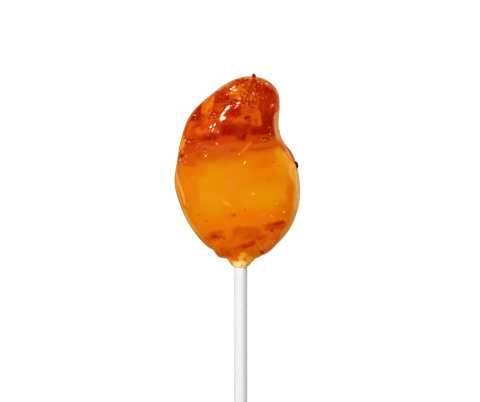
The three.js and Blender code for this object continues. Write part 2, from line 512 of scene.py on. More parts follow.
def model_flake():
    chip = start_icosphere(subdivisions=2)
    bpy.ops.transform.resize(value=(1, FLAKE_WIDTH_SHARE, FLAKE_THICKNESS_SHARE))
    bpy.ops.transform.vertex_random(offset=FLAKE_ROUGHNESS, seed=4)
    bpy.ops.object.mode_set(mode="OBJECT")
    return chip


def place_copies(name, model, places):
    """Copies a model to (place, outward slope, size, turn) and joins the copies as one piece."""
    copies = []
    for place, normal, size, turn in places:
        copy = bpy.data.objects.new(name, model.data.copy())
        bpy.context.scene.collection.objects.link(copy)
        spin = Quaternion((0, 0, 1), math.radians(turn))
        copy.rotation_mode = "QUATERNION"
        copy.rotation_quaternion = Vector((0, 0, 1)).rotation_difference(normal) @ spin
        copy.scale = size
        copy.location = place
        copies.append(copy)
    bpy.data.objects.remove(model)
    bpy.ops.object.select_all(action="DESELECT")
    for copy in copies:
        copy.select_set(True)
    bpy.context.view_layer.objects.active = copies[0]
    bpy.ops.object.join()
    bpy.ops.object.transform_apply(location=True, rotation=True, scale=True)
    piece = bpy.context.object
    piece.name = name
    measure(piece)
    return piece


flakes = place_copies("chilli_flakes", model_flake(), list(flake_places()))
edit_all(flakes)
cut_level(0, clear_inner=True)
bpy.ops.object.mode_set(mode="OBJECT")

# %% [markdown]
# Beads of syrup and trapped air stand out of the glaze in clusters. Each is a low dome, too small to catch
# the key light, so its glint is painted into its pale colour. They are copies of one flattened icosphere,
# thrown round the middle of a cluster by a seeded draw. A few larger beads stand alone. Bump in the glaze
# could shine like them, but it has no shape seen from the side.

# %% Scatter the beads of syrup
BEAD_CLUSTERS = [
    (2.6, 19.4, 2.4, 2.0, 16),
    (1.4, 17.3, 2.6, 0.7, 9),
    (2.8, 22.8, 3.6, 1.4, 13),
    (-7.3, 14.6, 1.2, 1.4, 11),
    (-2.8, 18.3, 0.9, 0.7, 4),
    (-12.0, 14.2, 1.0, 1.0, 4),
    (-12.6, 8.0, 1.6, 0.8, 5),
    (-11.2, 6.6, 1.0, 0.6, 3),
    (5.9, 8.4, 1.6, 0.6, 6),
    (7.5, 11.0, 0.5, 1.2, 4),
    (-14.4, 2.9, 1.2, 1.2, 5),
    (-8.9, 4.8, 0.5, 0.9, 4),
    (-12.2, -1.4, 0.7, 0.5, 2),
    (0.7, -21.4, 0.8, 0.5, 3),
]
LONE_BEADS = [
    (8.9, -6.7, 0.6),
    (10.9, -6.2, 0.6),
    (9.4, -8.0, 0.8),
    (6.1, -10.7, 0.5),
    (8.0, -11.2, 0.7),
    (11.2, -10.2, 0.8),
    (-13.4, -8.1, 0.6),
    (-6.8, -12.8, 0.5),
    (8.5, 6.5, 0.6),
    (0.8, -21.4, 1.0),
]
BEAD_LENGTHS = (0.22, 0.5)
BEAD_WIDTH_SHARE = 0.85
BEAD_FLATNESS = 0.55
BEAD_SEED = 11


def model_bead():
    bead = start_icosphere(subdivisions=2)
    bpy.ops.transform.resize(value=(1, BEAD_WIDTH_SHARE, BEAD_FLATNESS))
    bpy.ops.object.mode_set(mode="OBJECT")
    bpy.ops.object.shade_smooth()
    return bead


def bead_places():
    draw = random.Random(BEAD_SEED)
    for x, y, across, along, count in BEAD_CLUSTERS:
        for _ in range(count):
            found = on_face(draw.gauss(x, across / 2), draw.gauss(y, along / 2), 1)
            length = draw.uniform(*BEAD_LENGTHS)
            turn = draw.uniform(0, 360)
            if found:
                yield *found, [length] * 3, turn
    for x, y, length in LONE_BEADS:
        yield *on_face(x, y, 1), [length] * 3, 0


beads = place_copies("syrup_beads", model_bead(), list(bead_places()))

# %% [markdown]
# Wet glaze dries with flat plates and grains of sugar, and those that mirror the window flash: wet plates
# white, and drier grains cream. Both are a flattened icosphere, roughened and with its top cut off flat by
# bisect. Each is turned so that its flat top faces half-way between the eye and the window. White paint
# could stand for a glint, but it would stay white from every side.

# %% Lay the glinting plates and grains
PLATE_TOP = 0.1 * MM
PLATE_FLATNESS = 0.5
PLATE_ROUGHNESS = 0.05 * MM
PLATES = [
    (-3.45, 16.4, 2.1, 0.65, 47),
    (-4.5, 15.1, 1.8, 0.5, 42),
    (-4.6, 13.9, 1.9, 1.0, 12),
    (-6.6, 12.3, 1.1, 0.34, 66),
    (-7.1, 11.0, 1.0, 0.3, 66),
    (-7.65, 11.7, 0.6, 0.5, 0),
    (-1.7, 21.9, 0.9, 0.5, 30),
    (-2.3, 21.4, 0.7, 0.5, -20),
    (-1.5, 21.15, 0.9, 0.3, 10),
    (-0.6, 17.8, 1.1, 0.35, 8),
]
GRAINS = [
    (-0.9, 17.15, 0.6, 0.4, 20),
    (-1.4, 16.6, 0.6, 0.5, 60),
    (-2.2, 17.15, 0.7, 0.4, 0),
    (-0.15, 19.0, 0.8, 0.3, 90),
    (-2.2, 20.4, 0.5, 0.35, 80),
    (-3.5, 20.0, 0.45, 0.35, 0),
    (0.6, 22.5, 0.8, 0.4, 70),
    (3.25, 20.3, 0.6, 0.5, 60),
    (4.5, 23.3, 0.7, 0.35, 40),
    (6.7, 22.7, 0.9, 0.5, -40),
    (8.1, 17.2, 0.5, 0.45, 0),
    (-8.1, 15.4, 0.5, 0.35, 30),
    (-6.85, 15.1, 0.5, 0.35, 60),
    (-12.1, 14.8, 0.55, 0.4, 20),
    (-5.8, 10.4, 0.5, 0.4, 30),
    (7.6, 9.95, 0.45, 0.35, 0),
    (5.1, 8.4, 0.45, 0.35, 0),
    (6.4, 8.15, 0.45, 0.35, 40),
    (-6.1, 7.4, 0.7, 0.45, 80),
    (-13.3, 8.05, 0.6, 0.45, 0),
    (-10.5, 7.35, 0.45, 0.35, 0),
    (-14.6, 9.1, 0.5, 0.35, 70),
    (-14.6, 6.3, 0.45, 0.35, 40),
    (-14.85, 5.45, 0.75, 0.5, 60),
    (-15.5, 3.25, 0.8, 0.45, 20),
    (-8.9, 4.25, 0.55, 0.45, 0),
    (-0.35, 4.75, 0.55, 0.45, 0),
    (1.15, 2.7, 0.55, 0.5, 60),
    (0.85, 2.2, 0.45, 0.35, 20),
    (3.25, -5.55, 0.6, 0.4, 35),
    (0.15, -22.3, 0.7, 0.4, 80),
]


def model_plate():
    plate = start_icosphere(subdivisions=3)
    bpy.ops.transform.vertex_random(offset=PLATE_ROUGHNESS, seed=2)
    bpy.ops.transform.resize(value=(1, 1, PLATE_FLATNESS))
    cut_level(PLATE_TOP, clear_outer=True)
    bpy.ops.object.mode_set(mode="OBJECT")
    return plate


def facing_window(rows):
    for x, y, length, width, turn in rows:
        place, _ = on_face(x, y, 1)
        yield place, mirror_slope(place), (length, width, width), turn


plates = place_copies("sugar_plates", model_plate(), list(facing_window(PLATES)))
grains = place_copies("sugar_grains", model_plate(), list(facing_window(GRAINS)))

# %% [markdown]
# The stick is paper, wound tightly and cut, so its long side is plain and its cut ends show the layers. A
# cylinder gets a soft edge at each end, and insets that step in and out of the end face make the wound
# layers. A picture of rings could be laid on the ends, but real steps catch the light from any side.

# %% Roll the paper stick
LAYER = 0.24 * MM
LAYER_STEP = 0.07 * MM
LAYER_RETURN = 0.7
LAYERS = 5
END_RIM = 0.1 * MM
END_DISH = 0.02 * MM
END_BEVEL = 0.06 * MM
END_FACING = 0.9
SHARP_ANGLE = math.radians(60)
stick = lay_cylinder(STICK_RADIUS, stick_low.y, stick_high.y)
stick.name = "paper_stick"
for end in (-1, 1):
    select_faces(stick, [face.normal.y * end > END_FACING for face in stick.data.polygons])
    bpy.ops.mesh.inset(thickness=END_RIM)
    bpy.ops.transform.translate(value=(0, -end * END_DISH, 0))
    for _ in range(LAYERS):
        bpy.ops.mesh.inset(thickness=LAYER / 2)
        bpy.ops.transform.translate(value=(0, -end * LAYER_STEP, 0))
        bpy.ops.mesh.inset(thickness=LAYER / 2)
        bpy.ops.transform.translate(value=(0, end * LAYER_STEP * LAYER_RETURN, 0))
    bpy.ops.object.mode_set(mode="OBJECT")
finish_modifier(stick, "BEVEL", width=END_BEVEL, segments=2, limit_method="ANGLE", angle_limit=SHARP_ANGLE)
take(stick)
bpy.ops.object.shade_smooth_by_angle(angle=math.radians(40))
measure(stick)

# %% [markdown]
# The finishes are made of nodes. To keep their maths readable, a small class stands for one socket: adding
# or multiplying two of these adds the Math node that does it, and one method makes any other node.

# %% Shader maths as Python
RIGHT_THROUGH = 1e4


def set_sockets(node, sockets):
    """Links each socket that varies over the surface, and sets each that doesn't."""
    for name, value in sockets.items():
        if isinstance(value, Field):
            value.tree.links.new(value.socket, node.inputs[name])
        else:
            node.inputs[name].default_value = value


class Field:
    """A value, a vector or a colour that varies over a surface: one socket of a material's nodes."""

    def __init__(self, tree, socket):
        self.tree = tree
        self.socket = socket

    def node(self, kind, settings, sockets, output=0):
        made = self.tree.nodes.new(kind)
        for name, value in settings.items():
            setattr(made, name, value)
        set_sockets(made, sockets)
        return Field(self.tree, made.outputs[output])

    def math(self, operation, first, second):
        return self.node("ShaderNodeMath", {"operation": operation}, {0: first, 1: second})

    def __add__(self, other):
        return self.math("ADD", self, other)

    def __sub__(self, other):
        return self.math("SUBTRACT", self, other)

    def __rsub__(self, other):
        return self.math("SUBTRACT", other, self)

    def __mul__(self, other):
        return self.math("MULTIPLY", self, other)

    __radd__ = __add__
    __rmul__ = __mul__

    def rise(self, low, high):
        """Nought below low, one above high, and smooth between."""
        return self.node(
            "ShaderNodeMapRange",
            {"interpolation_type": "SMOOTHSTEP"},
            {"Value": self, "From Min": low, "From Max": high},
        )

    def vector(self, operation, other):
        return self.node("ShaderNodeVectorMath", {"operation": operation}, {0: self, 1: other})

    def tint(self, colour, amount):
        """This colour, turned towards another by an amount."""
        sockets = {0: amount, 6: self, 7: colour}
        return self.node("ShaderNodeMix", {"data_type": "RGBA"}, sockets, output=2)

    def shade(self, low, high):
        """A colour that goes from one to another as this value goes from nought to one."""
        return self.node("ShaderNodeMix", {"data_type": "RGBA"}, {0: self, 6: low, 7: high}, output=2)

    def cells(self, scale, softness):
        """A random value from 0 to 1 for each cell of a cracked pattern, blended where cells meet."""
        sockets = {"Vector": self, "Scale": scale, "Smoothness": softness}
        return self.node("ShaderNodeTexVoronoi", {"feature": "SMOOTH_F1"}, sockets, output=1).axis("X")

    def noise(self, scale, detail=2.0):
        """Noise at a number of waves per millimetre, from 0 to 1."""
        return self.node("ShaderNodeTexNoise", {}, {"Vector": self, "Scale": scale, "Detail": detail})

    def wobble(self, scale, reach, detail=1.0):
        """These points, moved about by noise."""
        sockets = {"Vector": self, "Scale": scale, "Detail": detail}
        random_way = self.node("ShaderNodeTexNoise", {}, sockets, output=1)
        centred = random_way.vector("SUBTRACT", (0.5, 0.5, 0.5))
        return self.vector("ADD", centred.vector("MULTIPLY", (2 * reach, 2 * reach, 2 * reach)))

    def patch(self, place, size, turn, softness):
        """One inside a blunt oval that runs right through, falling to nought over its soft edge."""
        sockets = {
            "Vector": self,
            "Location": (*place, 0),
            "Rotation": (0, 0, math.radians(turn)),
            "Scale": (*size, RIGHT_THROUGH),
        }
        inside = self.node("ShaderNodeMapping", {"vector_type": "TEXTURE"}, sockets)
        squares = inside.vector("MULTIPLY", inside)
        reach = self.node("ShaderNodeVectorMath", {"operation": "LENGTH"}, {0: squares}, output=1)
        return 1 - reach.rise((1 - softness) ** 2, (1 + softness) ** 2)

    def bubbles(self, scale):
        """The distance to the nearest of many scattered points, in cells."""
        return self.node("ShaderNodeTexVoronoi", {"feature": "F1"}, {"Vector": self, "Scale": scale})

    def axis(self, name):
        return self.node("ShaderNodeSeparateXYZ", {}, {0: self}, output="XYZ".index(name))


print("shader maths ready")

# %% Helpers for materials and colours


def new_material(name):
    """A material with its Principled shader and its Object coordinates in millimetres."""
    material = bpy.data.materials.new(name)
    material.use_nodes = True
    tree = material.node_tree
    shader = next(node for node in tree.nodes if node.type == "BSDF_PRINCIPLED")
    coordinates = tree.nodes.new("ShaderNodeTexCoord")
    metres = Field(tree, coordinates.outputs["Object"])
    return material, shader, metres.vector("MULTIPLY", (1 / MM, 1 / MM, 1 / MM))


def coat(piece, finish):
    piece.data.materials.clear()
    piece.data.materials.append(finish)
    print(finish.name, "on", piece.name)


def bump(field, strength, depth):
    sockets = {"Height": field, "Strength": strength, "Distance": depth * MM}
    return field.node("ShaderNodeBump", {}, sockets)


def paint(red, green, blue):
    """A colour as a screen shows it, from 0 to 255, as linear light, by the sRGB curve."""
    shares = np.array((red, green, blue)) / 255
    linear = np.where(shares <= 0.04045, shares / 12.92, ((shares + 0.055) / 1.055) ** 2.4)
    return (*linear, 1.0)


print("helpers for materials ready")

# %% [markdown]
# The glaze is red where it is thick, on the crown and in pools at the heel, and the amber sugar glows
# through where it is thin, on the belly and in windows in the crown. A few colours, from thin glaze to
# thick, are enough for all of it. Broad bands along the sweet come first, and pools and windows are laid
# over them.

# %% Colours of the glaze
GLAZE = {
    "honey": paint(242, 156, 30),
    "wheat": paint(228, 148, 24),
    "gold": paint(224, 139, 2),
    "apricot": paint(222, 122, 4),
    "burnt orange": paint(221, 109, 3),
    "amber": paint(228, 117, 12),
    "orange": paint(218, 82, 9),
    "ember": paint(205, 62, 8),
    "tawny": paint(205, 81, 4),
    "rust": paint(198, 58, 5),
    "crimson": paint(183, 34, 5),
    "deep red": paint(160, 16, 2),
    "maroon": paint(124, 10, 2),
    "brown": paint(204, 88, 6),
    "toffee": paint(224, 108, 22),
}
BELLY_GOLD = paint(224, 131, 3)
LEFT_GOLD = paint(206, 119, 2)
LOWER_ORANGE = paint(226, 113, 4)
HEEL_ORANGE = paint(214, 90, 4)
CROWN_RED = paint(198, 56, 10)
print("colours of the glaze", len(GLAZE))

# %% [markdown]
# Each pool or window is a blunt oval: its colour, its middle, its two half widths, its turn and the
# softness of its edge. Painting an image would be another way, but ovals stay sharp at any size and need no
# file.

# %% Pools on the belly
BELLY_POOLS = [
    ("gold", (-8.6, -4.6), (3.6, 5.0), 0, 0.7),
    ("honey", (-3.6, -8.1), (0.9, 0.25), -35, 0.9),
    ("burnt orange", (5.4, 2.6), (2.4, 1.5), 0, 0.8),
    ("apricot", (7.4, -1.0), (3.2, 1.4), 0, 0.7),
    ("gold", (5.5, -6.5), (4.5, 2.0), 0, 0.8),
    ("gold", (12.0, 0.4), (1.5, 1.0), 0, 0.8),
    ("apricot", (-11.8, -13.0), (2.4, 2.0), 0, 0.8),
    ("tawny", (1.3, -9.4), (0.2, 0.35), 0, 0.6),
    ("tawny", (-1.9, -10.9), (0.5, 0.35), 0, 0.8),
    ("tawny", (-10.7, -10.8), (0.4, 0.15), 0, 0.6),
    ("burnt orange", (-11.5, -13.3), (0.5, 0.4), 0, 0.6),
    ("burnt orange", (12.8, -5.6), (0.8, 3.0), 4, 0.6),
    ("burnt orange", (11.5, -9.6), (1.9, 1.6), 0, 0.7),
    ("apricot", (-13.0, -4.0), (1.7, 3.8), 8, 0.7),
    ("burnt orange", (-12.6, 0.8), (2.4, 1.4), 0, 0.9),
    ("wheat", (10.8, 4.0), (1.8, 0.9), -65, 0.9),
    ("tawny", (-13.0, 2.2), (1.3, 0.5), 0, 0.9),
    ("tawny", (-14.0, 4.0), (2.4, 1.1), 0, 0.8),
    ("rust", (-12.0, 6.8), (2.6, 1.2), 8, 0.7),
    ("rust", (-8.0, 7.6), (1.9, 0.6), 0, 0.8),
    ("rust", (-10.8, 4.6), (0.5, 0.45), 0, 0.8),
    ("rust", (-2.0, 5.8), (0.7, 0.35), 0, 0.8),
    ("rust", (-2.2, 8.4), (3.4, 0.7), 0, 0.6),
    ("rust", (5.2, 6.2), (3.0, 0.4), 8, 0.5),
    ("tawny", (6.0, 7.6), (3.2, 1.0), 8, 0.6),
    ("rust", (3.7, 8.0), (1.5, 0.5), 8, 0.8),
    ("toffee", (1.4, 6.5), (1.6, 0.35), 50, 0.5),
]
print("pools on the belly", len(BELLY_POOLS))

# %% Pools and windows in the crown
LEFT_CROWN_POOLS = [
    ("ember", (-10.8, 11.6), (3.2, 1.8), 0, 0.3),
    ("orange", (-10.2, 10.6), (1.4, 0.6), 0, 0.3),
    ("orange", (-12.6, 12.8), (1.2, 0.5), 40, 0.3),
    ("orange", (-13.7, 11.2), (0.8, 1.6), -20, 0.5),
    ("rust", (-11.4, 8.8), (2.8, 0.8), 3, 0.35),
    ("crimson", (-8.4, 9.0), (2.8, 0.8), 3, 0.3),
    ("deep red", (-7.8, 9.1), (1.6, 0.6), 4, 0.3),
    ("crimson", (-4.6, 9.5), (1.0, 0.5), 10, 0.4),
    ("orange", (-7.3, 11.0), (0.9, 0.6), 0, 0.4),
    ("orange", (-7.6, 14.3), (1.4, 1.2), 0, 0.4),
    ("crimson", (-11.2, 15.2), (1.5, 1.8), -30, 0.3),
    ("deep red", (-11.9, 14.3), (0.9, 0.8), 35, 0.4),
    ("amber", (-8.4, 17.3), (1.4, 2.5), -10, 0.2),
    ("rust", (-5.9, 15.8), (1.2, 1.3), 0, 0.3),
    ("crimson", (-4.7, 17.4), (1.6, 1.0), 0, 0.3),
    ("crimson", (-4.4, 19.2), (2.2, 1.5), 10, 0.25),
    ("deep red", (-4.2, 18.5), (2.0, 0.6), 6, 0.3),
    ("rust", (-5.8, 19.7), (0.7, 0.5), 30, 0.5),
    ("deep red", (-4.8, 20.7), (0.7, 0.6), 20, 0.4),
]
RIGHT_CROWN_POOLS = [
    ("amber", (-0.9, 20.5), (2.0, 1.8), 12, 0.2),
    ("amber", (-0.9, 19.3), (1.2, 0.5), 0, 0.4),
    ("orange", (0.6, 23.2), (3.0, 1.2), 5, 0.4),
    ("rust", (-3.2, 21.5), (0.8, 0.7), 0, 0.4),
    ("orange", (0.0, 17.5), (1.0, 0.7), 0, 0.4),
    ("orange", (2.9, 19.0), (2.4, 2.1), 0, 0.3),
    ("crimson", (5.0, 21.4), (1.3, 1.5), 0, 0.35),
    ("deep red", (7.4, 20.9), (1.1, 1.3), 0, 0.3),
    ("crimson", (6.7, 16.6), (1.9, 3.8), 0, 0.3),
    ("deep red", (6.8, 12.8), (1.7, 2.6), 0, 0.25),
    ("orange", (8.1, 17.1), (0.5, 0.45), 0, 0.4),
    ("orange", (1.1, 15.6), (1.1, 1.1), 0, 0.2),
    ("orange", (3.9, 13.9), (1.3, 1.8), 0, 0.2),
    ("ember", (1.4, 13.2), (1.2, 0.6), 0, 0.4),
    ("orange", (-0.8, 13.6), (1.6, 0.45), 3, 0.3),
    ("ember", (-3.9, 12.9), (1.9, 0.7), 0, 0.3),
    ("crimson", (-1.7, 15.5), (1.7, 1.2), 5, 0.25),
    ("deep red", (-1.5, 15.4), (1.0, 0.7), 5, 0.5),
    ("deep red", (-3.0, 10.9), (2.3, 1.4), -3, 0.25),
    ("deep red", (-0.5, 11.1), (1.6, 1.4), 0, 0.3),
    ("crimson", (1.2, 11.7), (1.7, 0.8), 0, 0.3),
    ("deep red", (0.3, 9.6), (1.2, 1.4), -15, 0.3),
    ("deep red", (5.5, 10.7), (3.1, 1.05), 4, 0.3),
]
print("pools and windows in the crown", len(LEFT_CROWN_POOLS + RIGHT_CROWN_POOLS))

# %% Pools at the heel
HEEL_POOLS = [
    ("tawny", (1.7, -15.6), (3.6, 1.6), 0, 0.25),
    ("burnt orange", (-7.8, -18.6), (1.6, 0.6), -12, 0.5),
    ("rust", (8.6, -13.8), (2.5, 0.9), 8, 0.4),
    ("crimson", (9.9, -13.1), (1.3, 0.35), 12, 0.5),
    ("crimson", (8.2, -14.8), (0.35, 0.5), 0, 0.5),
    ("rust", (-0.6, -19.3), (1.5, 0.4), 16, 0.5),
    ("rust", (5.0, -17.0), (1.3, 0.5), 28, 0.5),
    ("crimson", (2.2, -18.5), (1.7, 0.65), 24, 0.35),
    ("rust", (-6.2, -16.0), (1.6, 0.9), 10, 0.5),
    ("deep red", (-6.6, -16.4), (0.8, 0.4), 5, 0.5),
    ("orange", (-8.7, -17.2), (1.5, 0.5), -8, 0.5),
    ("toffee", (7.6, -17.9), (1.2, 2.3), -28, 0.2),
    ("brown", (-4.2, -20.6), (2.2, 1.0), 8, 0.4),
    ("apricot", (-7.2, -19.5), (1.6, 0.6), -35, 0.5),
    ("rust", (-3.4, -20.5), (0.5, 0.4), 0, 0.5),
    ("burnt orange", (-4.6, -18.3), (3.2, 0.9), 4, 0.5),
    ("apricot", (3.2, -21.2), (2.0, 0.7), 20, 0.5),
    ("crimson", (5.6, -20.6), (0.7, 0.35), -20, 0.4),
    ("amber", (5.2, -19.3), (1.7, 0.16), -56, 0.6),
    ("honey", (0.5, -21.3), (0.7, 0.5), 0, 0.7),
]
print("pools at the heel", len(HEEL_POOLS))

# %% [markdown]
# The edges of the pools wander, because glaze creeps as it sets. Noise moves the points that a pool is
# measured from: gently on the belly, and again and again towards the crown, where the edges are torn.
# Moving the points lets the shape of an edge wander and keeps its softness.

# %% Lay the pools over the bands
LEFT_TO_RIGHT = (-14.0, -2.0)
BELLY_STARTS = (-10.9, -8.3)
HEEL_FADES = (-19.0, -13.0)
SHOULDER_STARTS = (0.6, 6.4)
RED_STARTS = (7.7, 9.3)
LEFT_SLANT = 0.25
BAND_SLANT = 0.15


def glaze_colour(place):
    smooth_edged = place.wobble(scale=0.5, reach=0.5)
    uneven_edged = smooth_edged.wobble(scale=1.6, reach=0.3)
    ragged = uneven_edged.wobble(scale=1.8, reach=0.3, detail=2.0)
    torn = ragged.wobble(scale=3.2, reach=0.12)
    across, along = uneven_edged.axis("X"), uneven_edged.axis("Y")
    belly = across.rise(*LEFT_TO_RIGHT).shade(LEFT_GOLD, BELLY_GOLD)
    slanted = along - LEFT_SLANT * across.math("MINIMUM", across, 0.0)
    colour = slanted.rise(*BELLY_STARTS).shade(LOWER_ORANGE, belly)
    colour = colour.tint(HEEL_ORANGE, 1 - (along - BAND_SLANT * across).rise(*HEEL_FADES))
    colour = colour.tint(GLAZE["tawny"], (along - BAND_SLANT * across).rise(*SHOULDER_STARTS))
    colour = colour.tint(CROWN_RED, along.rise(*RED_STARTS))
    coats = [
        (BELLY_POOLS, smooth_edged),
        (HEEL_POOLS, uneven_edged),
        (LEFT_CROWN_POOLS, ragged),
        (RIGHT_CROWN_POOLS, torn),
    ]
    for pools, wandering in coats:
        for name, middle, size, turn, softness in pools:
            colour = colour.tint(GLAZE[name], wandering.patch(middle, size, turn, softness))
    return colour


print("bands and pools of glaze ready")

# %% [markdown]
# No coat of glaze is even. It dries in small sheets of unlike thickness, which show as cells with straight
# edges, and at the heel it runs in slanting streaks. Ground chilli adds specks, and where the glaze has
# frothed, bubbles show as pale dots, partly the paler air in them and partly a painted glint, with a
# painted shade of dark glaze between them. Voronoi cells give the sheets, the streaks and the froth, and
# noise gives the specks. All of it is strong in the crown and faint on the belly. Noise alone has no
# straight edges, so it can't stand for sheets.

# %% Sheets, streaks and specks
STREAK_TURN = 22
STREAK_STRETCH = (3.4, 1.0, 2.0)
THICK_CELLS, THIN_CELLS = (0.6, 0.9), (0.65, 0.95)
THICK_MOTTLE, THIN_MOTTLE = (0.53, 0.63), (0.55, 0.65)
DARK_SPECKS, PALE_SPECKS = (0.63, 0.7), (0.64, 0.72)
SHEETS_ALL_OVER = 0.1
THICK_SHEETS_IN_CROWN = 0.3
THIN_SHEETS_IN_CROWN = 0.25
STREAKS_AT_HEEL = 0.4
MOTTLE_IN_CROWN = 0.4
SPECKS_ALL_OVER = 0.06
DARK_SPECKS_IN_CROWN = 0.54
PALE_SPECKS_IN_CROWN = 0.44


def between(value, low, high, softness):
    """One from low to high, falling to nought over a soft end on either side."""
    return value.rise(low - softness, low + softness) * (1 - value.rise(high - softness, high + softness))


def uneven_glaze(colour, place):
    across, along = place.axis("X"), place.axis("Y")
    crown = along.rise(8.5, 11.0)
    heel = 1 - along.rise(-16.5, -13.5)
    red_part = along.rise(7.2, 8.2)
    thick = red_part.shade(GLAZE["burnt orange"], GLAZE["deep red"])
    thin = red_part.shade(GLAZE["gold"], GLAZE["amber"])
    dark_band = between(along, 9.6, 12.2, 0.6) * across.rise(-6.0, -4.0)
    paler = crown * (1 - 0.8 * dark_band) * (1 - 0.8 * across.rise(5.0, 6.0))
    warped = place.wobble(scale=0.9, reach=0.5)
    sheets = warped.cells(0.55, 0.06)
    settings = {"vector_type": "TEXTURE"}
    sockets = {"Vector": warped, "Rotation": (0, 0, math.radians(STREAK_TURN)), "Scale": STREAK_STRETCH}
    streaks = warped.node("ShaderNodeMapping", settings, sockets).cells(0.9, 0.35)
    mottle = warped.noise(0.8, 4.0)
    specks = place.noise(2.4, 1.0)
    thick_share = SHEETS_ALL_OVER + THICK_SHEETS_IN_CROWN * crown
    thin_share = SHEETS_ALL_OVER * (1 - crown) + THIN_SHEETS_IN_CROWN * paler
    dark_share = SPECKS_ALL_OVER + DARK_SPECKS_IN_CROWN * crown
    pale_share = SPECKS_ALL_OVER + PALE_SPECKS_IN_CROWN * paler
    layers = [
        (thick, thick_share * sheets.rise(*THICK_CELLS)),
        (thin, thin_share * (1 - sheets).rise(*THIN_CELLS)),
        (GLAZE["rust"], STREAKS_AT_HEEL * heel * streaks.rise(*THICK_CELLS)),
        (GLAZE["amber"], STREAKS_AT_HEEL * heel * (1 - streaks).rise(*THIN_CELLS)),
        (GLAZE["crimson"], MOTTLE_IN_CROWN * crown * mottle.rise(*THICK_MOTTLE)),
        (GLAZE["orange"], MOTTLE_IN_CROWN * paler * (1 - mottle).rise(*THIN_MOTTLE)),
        (GLAZE["maroon"], dark_share * specks.rise(*DARK_SPECKS)),
        (GLAZE["amber"], pale_share * (1 - specks).rise(*PALE_SPECKS)),
    ]
    for shade, amount in layers:
        colour = colour.tint(shade, amount)
    return colour


print("sheets, streaks and specks ready")

# %% Froth
FROTH_DOT_AND_GLINT = paint(236, 118, 44)
FROTH_PATCHES = [
    ((2.2, 19.2), (2.3, 2.2), 0),
    ((1.6, 23.0), (3.4, 1.0), -4),
    ((-2.0, 17.9), (1.0, 0.8), 0),
    ((-7.2, 14.5), (1.1, 1.5), 0),
    ((-11.8, 14.5), (1.2, 1.2), 0),
    ((-13.0, 7.9), (1.4, 0.9), 0),
    ((-9.0, 4.9), (0.7, 1.1), 0),
    ((-14.5, 3.2), (1.1, 1.4), 0),
    ((6.0, 8.4), (1.4, 0.6), 0),
    ((7.5, 11.0), (0.5, 1.1), 0),
]
DOT_STRENGTH = 0.75
GAP_SHADE_STRENGTH = 0.65
DOT_FADES = (0.1, 0.26)
GAP_STARTS = (0.36, 0.5)


def froth(colour, place):
    wandering = place.wobble(scale=1.0, reach=0.4).wobble(scale=3.0, reach=0.2)
    frothed = sum(wandering.patch(middle, size, turn, 0.5) for middle, size, turn in FROTH_PATCHES)
    to_bubble = place.bubbles(1.7) + 0.3 * place.noise(1.0) - 0.15
    gaps = place.axis("Y").rise(3.0, 7.0) * to_bubble.rise(*GAP_STARTS)
    # the dark glaze between the bubbles is painted shade, and each pale dot is partly a painted glint
    colour = colour.tint(GLAZE["deep red"], GAP_SHADE_STRENGTH * frothed * gaps)
    return colour.tint(FROTH_DOT_AND_GLINT, DOT_STRENGTH * frothed * (1 - to_bubble.rise(*DOT_FADES)))


print("patches of froth", len(FROTH_PATCHES))

# %% [markdown]
# Towards the parting line the glaze has drained away, so the side wall of the sweet is paler: peach on the
# cheek, ochre on the other flank, and a thin line elsewhere. The peach cheek is also painted lighter, a
# painted glow as if light shone through the thin sugar. The height over the parting plane shows how far
# down the wall a point is, and the band reaches higher on some stretches than on others. A few lines and
# stains are laid over it, among them a painted pale sheen on the top of the crown and on the beak, a
# painted highlight on the lip ridges and a thin painted shadow along the parting line. A mask painted by
# hand could do the same, but the height needs no painting.

# %% Colours of the side wall and the syrup
PEACH_GLOW_WALL = paint(255, 200, 120)
SHOULDER_WALL = paint(236, 150, 62)
BEAK_WALL = paint(240, 164, 92)
OCHRE_WALL = paint(236, 162, 36)
AMBER_WALL = paint(250, 162, 38)
TAN_SHEEN_WALL = paint(255, 166, 94)
RUSSET_WALL = paint(246, 136, 58)
ROSE_SHEEN = paint(208, 94, 48)
HONEY_EDGE = paint(255, 186, 66)
HEEL_WALL = paint(238, 120, 24)
PEACH_RIDGE_HIGHLIGHT = paint(240, 156, 74)
AMBER_SYRUP = paint(240, 168, 36)
OLIVE_SYRUP = paint(244, 164, 44)
OCHRE_STAIN = paint(226, 144, 40)
GOLD_SYRUP = paint(255, 206, 88)
CREAM_SYRUP = paint(250, 224, 150)
print("colours of the side wall and the syrup ready")
